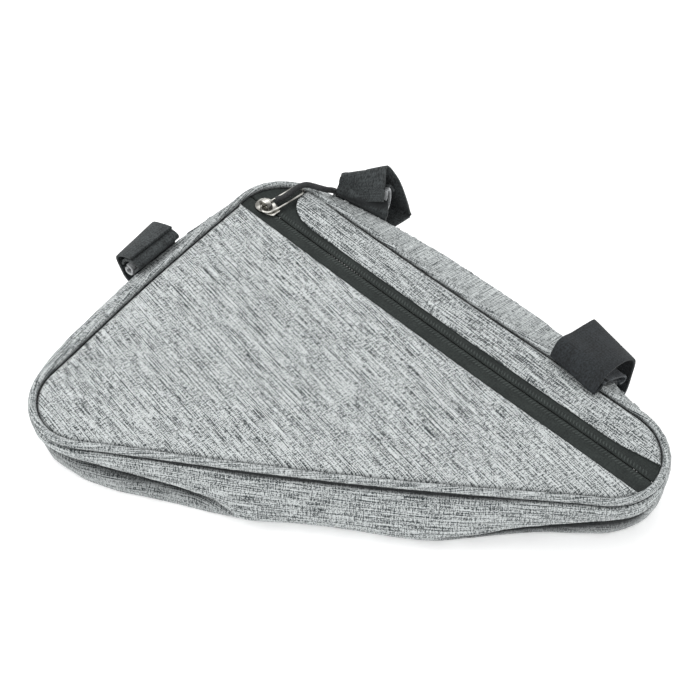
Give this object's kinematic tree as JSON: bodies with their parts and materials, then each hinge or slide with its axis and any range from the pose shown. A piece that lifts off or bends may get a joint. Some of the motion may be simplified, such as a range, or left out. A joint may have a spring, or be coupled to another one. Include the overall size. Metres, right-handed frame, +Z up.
{
  "type": "bicycle frame bag",
  "caption": "Triangular cloth frame bag lying on its back, with covered-cord seams, a zip along the long edge, a wire zip pull and wrap straps.",
  "frame": {"origin": "middle of the bounding box on the surface that the bag lies on", "axes": "+X along the bottom edge towards the narrow corner, +Y towards the top corner, +Z up out of the front face, through the bag's depth"},
  "size_m": [0.3848, 0.2608, 0.0656],
  "materials": {
    "panel_cloth": "grey melange woven cloth, matt",
    "strip_cloth": "grey melange woven cloth, matt",
    "gusset_cloth": "grey melange woven cloth, matt",
    "piping_cloth": "grey melange woven cloth over a cord, matt",
    "shade_cloth": "grey melange woven cloth, matt",
    "zip_tape": "tight woven tape, matt",
    "zip_coil": "closed nylon coil",
    "slider_metal": "polished plated metal",
    "cord": "braided cord",
    "strap_webbing": "napped loop-faced webbing, matt",
    "hook_tape": "hook tape, matt"
  },
  "bodies": {
    "root": {"back_panel": "shade_cloth", "gusset_lower": "gusset_cloth", "gusset_top": "gusset_cloth", "piping_back": "piping_cloth", "piping_front": "piping_cloth", "front_panel": "panel_cloth", "front_strip": "strip_cloth", "zip_tape_lower": "zip_tape", "zip_tape_upper": "zip_tape", "zip_coil": "zip_coil", "zip_slider": "slider_metal", "zip_pull": "slider_metal", "pull_cord": "cord", "strap_short": "strap_webbing", "strap_long_a": "strap_webbing", "strap_long_b": "strap_webbing", "hook_short": "hook_tape", "hook_long_a": "hook_tape", "hook_long_b": "hook_tape"}
  },
  "joints": []
}
